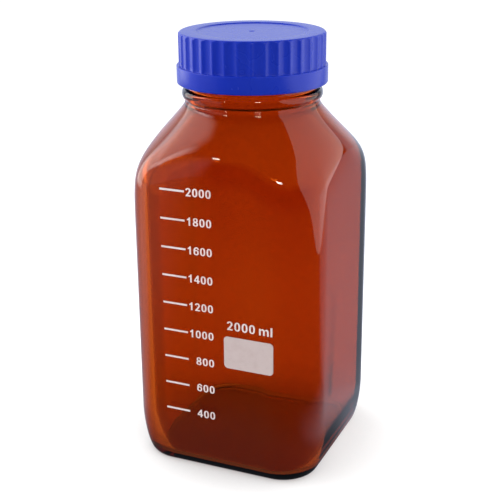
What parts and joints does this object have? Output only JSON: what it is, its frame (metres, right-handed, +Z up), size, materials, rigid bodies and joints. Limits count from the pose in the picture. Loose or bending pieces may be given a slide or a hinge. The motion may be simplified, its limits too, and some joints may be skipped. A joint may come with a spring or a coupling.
{
  "type": "reagent bottle",
  "caption": "Square amber glass laboratory bottle with a wide threaded mouth, pouring ring, sealing disc, fluted blue screw cap and a white enamel volume scale.",
  "frame": {"origin": "centre of the square footprint, on the plane the bottle stands on", "axes": "+Z up along the neck, -Y out of the printed face, +X to the right of someone reading the scale"},
  "size_m": [0.119, 0.1191, 0.2571],
  "materials": {
    "amber_glass": "smooth amber-stained borosilicate glass",
    "blue_plastic": "satin moulded polypropylene",
    "seal": "matt moulded seal",
    "white_enamel": "fired white screen-printed enamel"
  },
  "bodies": {
    "bottle": {"glass_bottle": "amber_glass", "pouring_ring": "blue_plastic", "graduation_lines": "white_enamel", "graduation_numbers": "white_enamel", "capacity_mark": "white_enamel", "marking_field": "white_enamel"},
    "seal": {"sealing_disc": "seal"},
    "cap": {"screw_cap": "blue_plastic"}
  },
  "joints": [
    {"name": "cap_lift", "type": "slide", "parent": "bottle", "child": "seal", "axis": [0, 0, 1], "range_m": [0, 0.0101]},
    {"name": "cap_turn", "type": "hinge", "parent": "seal", "child": "cap", "pos_m": [0, 0, 0.2541], "axis": [0, 0, 1], "range_deg": [0, 720]}
  ],
  "couplings": [
    {"joint": "cap_lift", "follows": "cap_turn", "m_per_rad": 0.00079577}
  ]
}
